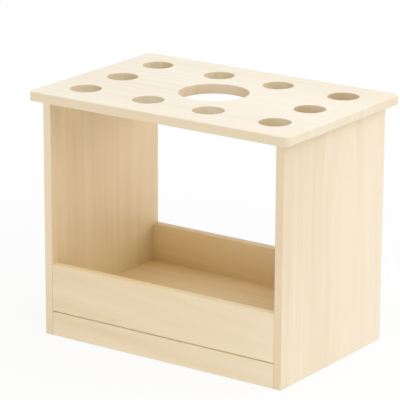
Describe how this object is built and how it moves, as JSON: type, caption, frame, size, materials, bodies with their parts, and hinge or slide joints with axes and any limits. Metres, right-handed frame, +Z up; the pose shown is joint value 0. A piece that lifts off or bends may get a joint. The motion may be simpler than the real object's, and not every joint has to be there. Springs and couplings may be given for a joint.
{
  "type": "paint cup cabinet",
  "caption": "Low open wooden cabinet whose overhanging top is bored with round holes for paint cups and a jar, above a fixed shallow tray and plinth.",
  "frame": {"origin": "on the ground under the middle of the cabinet", "axes": "+Z up, the front faces -Y, +X to the right of someone who looks at the front"},
  "size_m": [0.6, 0.4, 0.5],
  "materials": {
    "maple_board": "clear satin lacquer",
    "beech_dowel": "bare wood",
    "zinc_cam": "die-cast zinc",
    "steel_bolt": "zinc-plated"
  },
  "bodies": {
    "root": {"top_panel": "maple_board", "left_side_panel": "maple_board", "right_side_panel": "maple_board", "front_rail": "maple_board", "back_rail": "maple_board", "tray_floor": "maple_board", "front_plinth": "maple_board", "back_plinth": "maple_board", "top_dowels": "beech_dowel", "front_rail_dowels": "beech_dowel", "back_rail_dowels": "beech_dowel", "tray_floor_dowels": "beech_dowel", "front_plinth_dowels": "beech_dowel", "back_plinth_dowels": "beech_dowel", "top_cams": "zinc_cam", "front_rail_cams": "zinc_cam", "back_rail_cams": "zinc_cam", "tray_floor_cams": "zinc_cam", "top_cam_bolts": "steel_bolt", "front_rail_cam_bolts": "steel_bolt", "back_rail_cam_bolts": "steel_bolt", "tray_floor_cam_bolts": "steel_bolt"}
  },
  "joints": []
}
